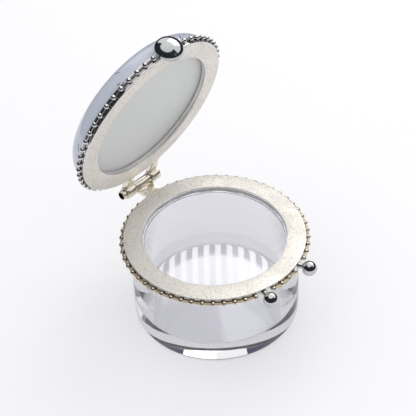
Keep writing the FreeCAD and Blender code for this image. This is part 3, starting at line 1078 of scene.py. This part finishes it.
# Name, colour, radius, lowest and highest level and first and last degree of each card,
# and whether metal mirrors it
DARK_CARDS = (
    ("front_card", CARD_BLACK, 0.350, 0.00, 0.62, 140.0, 300.0, True),
    ("far_card", CARD_BLACK, 0.355, 0.00, 0.60, 85.0, 140.0, True),
    ("low_card", CARD_BLACK, 0.360, 0.00, 0.22, 0.0, 360.0, True),
    ("right_flag", CARD_BLUE, 0.340, 0.28, 0.52, -25.0, 22.0, False),
    ("left_flag", CARD_BLUE, 0.340, 0.28, 0.52, 62.0, 100.0, False),
)

# Name, place, width and power of each lamp
LAMPS = (
    ("key", (0.60, 0.14, 0.52), 0.60, 1.2),
    ("front", (0.15, -0.70, 0.35), 0.25, 0.4),
)


def seen_in_glass_or_metal(tree, path):
    """1 on rays that metal mirrors or glass lets through, 0 on others."""
    return worked(tree, "MAXIMUM", path["Is Glossy Ray"], path["Is Transmission Ray"])


class TRINKET_OT_stage(bpy.types.Operator):
    """Set up the pale floor, the soft studio light and the camera"""

    bl_idname = "trinket.stage"
    bl_label = "Stage"

    def execute(self, context):
        self.floor()
        for card in DARK_CARDS:
            self.dark_card(*card)
        self.world()
        for lamp in LAMPS:
            self.lamp(*lamp)
        self.camera()
        context.scene.view_settings.view_transform = "Standard"
        self.light_paths(context.scene.cycles)
        return {"FINISHED"}

    def light_paths(self, settings):
        """Lets light run through the thick glass as often as it is turned back inside."""
        settings.max_bounces = 24
        settings.glossy_bounces = 16
        settings.transmission_bounces = 24

    def floor(self):
        """Pale floor just under the jar, lifted towards white for the camera, metal and glass."""
        pick()
        bpy.ops.mesh.primitive_circle_add(
            vertices=FLOOR_SIDES, radius=FLOOR_RADIUS, fill_type="NGON", location=(0.0, 0.0, -FLOOR_SINK)
        )
        floor = bpy.context.object
        floor.name = "floor"
        material, tree, shader = new_material("pale_floor")
        place = object_place(tree)
        mottle = noise(tree, place, Scale=3.0, Detail=2.0)
        colour = colours().floor
        path = add_node(tree, "ShaderNodeLightPath").outputs
        camera_lift = worked(tree, "MULTIPLY", path["Is Camera Ray"], FLOOR_LIFT)
        mirrored_lift = worked(tree, "MULTIPLY", seen_in_glass_or_metal(tree, path), MIRRORED_LIFT)
        # Painted light under the jar, which only rays through the glass see
        glow = self.glow_under_glass(tree, place)
        glass_lift = worked(tree, "MULTIPLY_ADD", path["Is Transmission Ray"], glow, mirrored_lift)
        fill(shader, {
            "Base Color": blended(tree, mottle, colour, shade(colour, FLOOR_MOTTLE_SHADE)),
            "Roughness": 0.9,
            "Specular IOR Level": 0.1,
            "Emission Color": (*WHITE, 1.0),
            "Emission Strength": worked(tree, "MAXIMUM", camera_lift, glass_lift),
        })
        floor.data.materials.append(material)

    def glow_under_glass(self, tree, place):
        """Painted light on the floor under the jar, in streaks that run to the far side, standing in for
        light that the glass gathers.
        """
        split = add_node(tree, "ShaderNodeSeparateXYZ", Vector=place)
        along, away = split.outputs["X"], split.outputs["Y"]
        radius = length_of(tree, along, away)
        right_x, right_y = math.cos(CAMERA_AZIMUTH), math.sin(CAMERA_AZIMUTH)
        across = worked(tree, "MULTIPLY_ADD", along, right_x, worked(tree, "MULTIPLY", away, right_y))
        depth = worked(tree, "MULTIPLY_ADD", along, -right_y, worked(tree, "MULTIPLY", away, right_x))
        wave = worked(tree, "SINE", worked(tree, "MULTIPLY", across, math.tau / STREAK_PITCH))
        streak = eased(tree, wave, *STREAK_EDGE)
        under = eased(tree, radius, *(JAR_TOP.x - inset for inset in WALL_INSETS))
        middle = eased(tree, radius, *MIDDLE_EDGE)
        far = eased(tree, depth, *FAR_EDGE)
        rim_glow = worked(tree, "MULTIPLY", streak, RIM_GLOW)
        inner_glow = worked(tree, "MULTIPLY_ADD", streak, STREAK_GLOW, INNER_GLOW)
        gain = worked(tree, "SUBTRACT", inner_glow, rim_glow)
        spread = worked(tree, "MULTIPLY_ADD", gain, middle, rim_glow)
        return worked(tree, "MULTIPLY", worked(tree, "MULTIPLY_ADD", spread, far, NEAR_GLOW), under)

    def dark_card(self, name, colour, radius, low, high, start, end, mirrored):
        """A dark curved card outside the picture that only reflections and the glass show."""
        card = new_piece(name)
        draw_line([(radius, low), (radius, high)])
        spin_all(SMALL_STEPS, math.radians(start - end))
        settle(card, turned(math.radians(start)))
        material, _, shader = new_material(name)
        fill(shader, {"Base Color": (*colour, 1.0), "Roughness": 1.0})
        card.data.materials.append(material)
        card.visible_camera = False
        card.visible_diffuse = False
        card.visible_shadow = False
        card.visible_glossy = mirrored

    def world(self):
        """Soft white surroundings, brightest high up on the far side."""
        world = bpy.data.worlds.new("studio")
        bpy.context.scene.world = world
        world.use_nodes = True
        tree = world.node_tree
        facing = add_node(tree, "ShaderNodeVectorMath", operation="DOT_PRODUCT")
        feed(add_node(tree, "ShaderNodeTexCoord").outputs["Generated"], facing.inputs[0])
        feed(PANEL_TOWARDS, facing.inputs[1])
        panel = eased(tree, facing.outputs["Value"], *PANEL_EDGE)
        lit = blended(tree, panel, WORLD_COLOUR, PANEL_COLOUR)
        path = add_node(tree, "ShaderNodeLightPath").outputs
        seen_in = seen_in_glass_or_metal(tree, path)
        lift = worked(tree, "MULTIPLY_ADD", seen_in, WORLD_LIFT, path["Is Camera Ray"])
        fill(tree.nodes["Background"], {"Color": blended(tree, lift, lit, WHITE), "Strength": 1.0})

    def lamp(self, name, place, width, power):
        """A soft square lamp that points at the box."""
        bpy.ops.object.light_add(type="AREA", location=place)
        lamp = bpy.context.object
        lamp.name = f"{name}_light"
        lamp.data.size = width
        lamp.data.energy = power
        lamp.rotation_euler = (CAMERA_TARGET - Vector(place)).to_track_quat("-Z", "Y").to_euler()

    def camera(self):
        """The photograph's camera, turned about its own axis by the roll."""
        flat = math.cos(CAMERA_HEIGHT)
        back = Vector((
            math.sin(CAMERA_AZIMUTH) * flat,
            -math.cos(CAMERA_AZIMUTH) * flat,
            math.sin(CAMERA_HEIGHT),
        ))
        level_right = Vector((math.cos(CAMERA_AZIMUTH), math.sin(CAMERA_AZIMUTH), 0.0))
        level_up = back.cross(level_right)
        right = level_right * math.cos(CAMERA_ROLL) + level_up * math.sin(CAMERA_ROLL)
        up = level_up * math.cos(CAMERA_ROLL) - level_right * math.sin(CAMERA_ROLL)
        turn = Matrix((right, up, back)).transposed()
        bpy.ops.object.camera_add(location=CAMERA_TARGET + back * CAMERA_DISTANCE, rotation=turn.to_euler())
        camera = bpy.context.object
        camera.name = "photo_camera"
        camera.data.lens = CAMERA_LENS
        camera.data.shift_x, camera.data.shift_y = CAMERA_SHIFT
        bpy.context.scene.camera = camera


PIECE_OPERATORS = (
    TRINKET_OT_jar,
    TRINKET_OT_rims,
    TRINKET_OT_strips,
    TRINKET_OT_beads,
    TRINKET_OT_grips,
    TRINKET_OT_knob,
    TRINKET_OT_hinge,
    TRINKET_OT_dome,
    TRINKET_OT_lining,
    TRINKET_OT_stage,
)


class TRINKET_PT_panel(bpy.types.Panel):
    """Lists the steps that model and finish the box"""

    bl_idname = "TRINKET_PT_panel"
    bl_label = "Trinket Box"
    bl_space_type = "VIEW_3D"
    bl_region_type = "UI"
    bl_category = "Trinket Box"

    def draw(self, context):
        for operator in PIECE_OPERATORS:
            self.layout.operator(operator.bl_idname)


CLASSES = (BoxSizes, BoxColours, *PIECE_OPERATORS, TRINKET_PT_panel)


def register():
    for each in CLASSES:
        bpy.utils.register_class(each)
    bpy.types.Scene.trinket_sizes = PointerProperty(type=BoxSizes)
    bpy.types.Scene.trinket_colours = PointerProperty(type=BoxColours)


def unregister():
    del bpy.types.Scene.trinket_colours
    del bpy.types.Scene.trinket_sizes
    for each in reversed(CLASSES):
        bpy.utils.unregister_class(each)


def main():
    register()
    for operator in PIECE_OPERATORS:
        group, name = operator.bl_idname.split(".")
        getattr(getattr(bpy.ops, group), name)()


if __name__ == "__main__":
    main()
